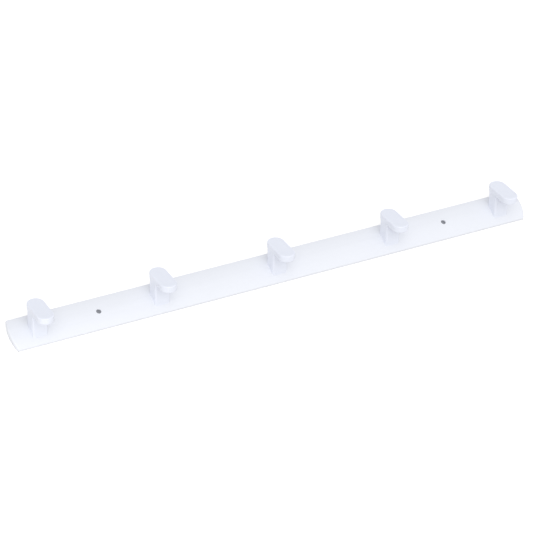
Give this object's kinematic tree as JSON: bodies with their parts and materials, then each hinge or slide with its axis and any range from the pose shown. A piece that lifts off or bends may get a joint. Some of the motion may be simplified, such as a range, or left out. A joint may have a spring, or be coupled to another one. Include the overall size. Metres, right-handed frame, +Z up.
{
  "type": "wall coat rack",
  "caption": "Wall coat rack: a low crowned metal rail with bowed ends, carrying a row of leaning hooks with oblong heads, fixed to the wall through two holes.",
  "frame": {"origin": "middle of the rail's crown, halfway between the two wall holes, on the front face where the wall screws' heads bear; the wall is the plane 6.5 mm behind it", "axes": "+X along the rail to the right of someone facing the wall, +Y into the wall, +Z up the wall, so the rack stands out towards -Y"},
  "size_m": [0.6, 0.0453, 0.0409],
  "materials": {
    "rail": "smooth satin white powder coat on pressed sheet steel",
    "hook": "smooth satin white powder coat on die cast zinc",
    "screw": "zinc plated steel"
  },
  "bodies": {
    "root": {"rail": "rail", "hook_1": "hook", "hook_2": "hook", "hook_3": "hook", "hook_4": "hook", "hook_5": "hook", "hook_screws": "screw"}
  },
  "joints": []
}
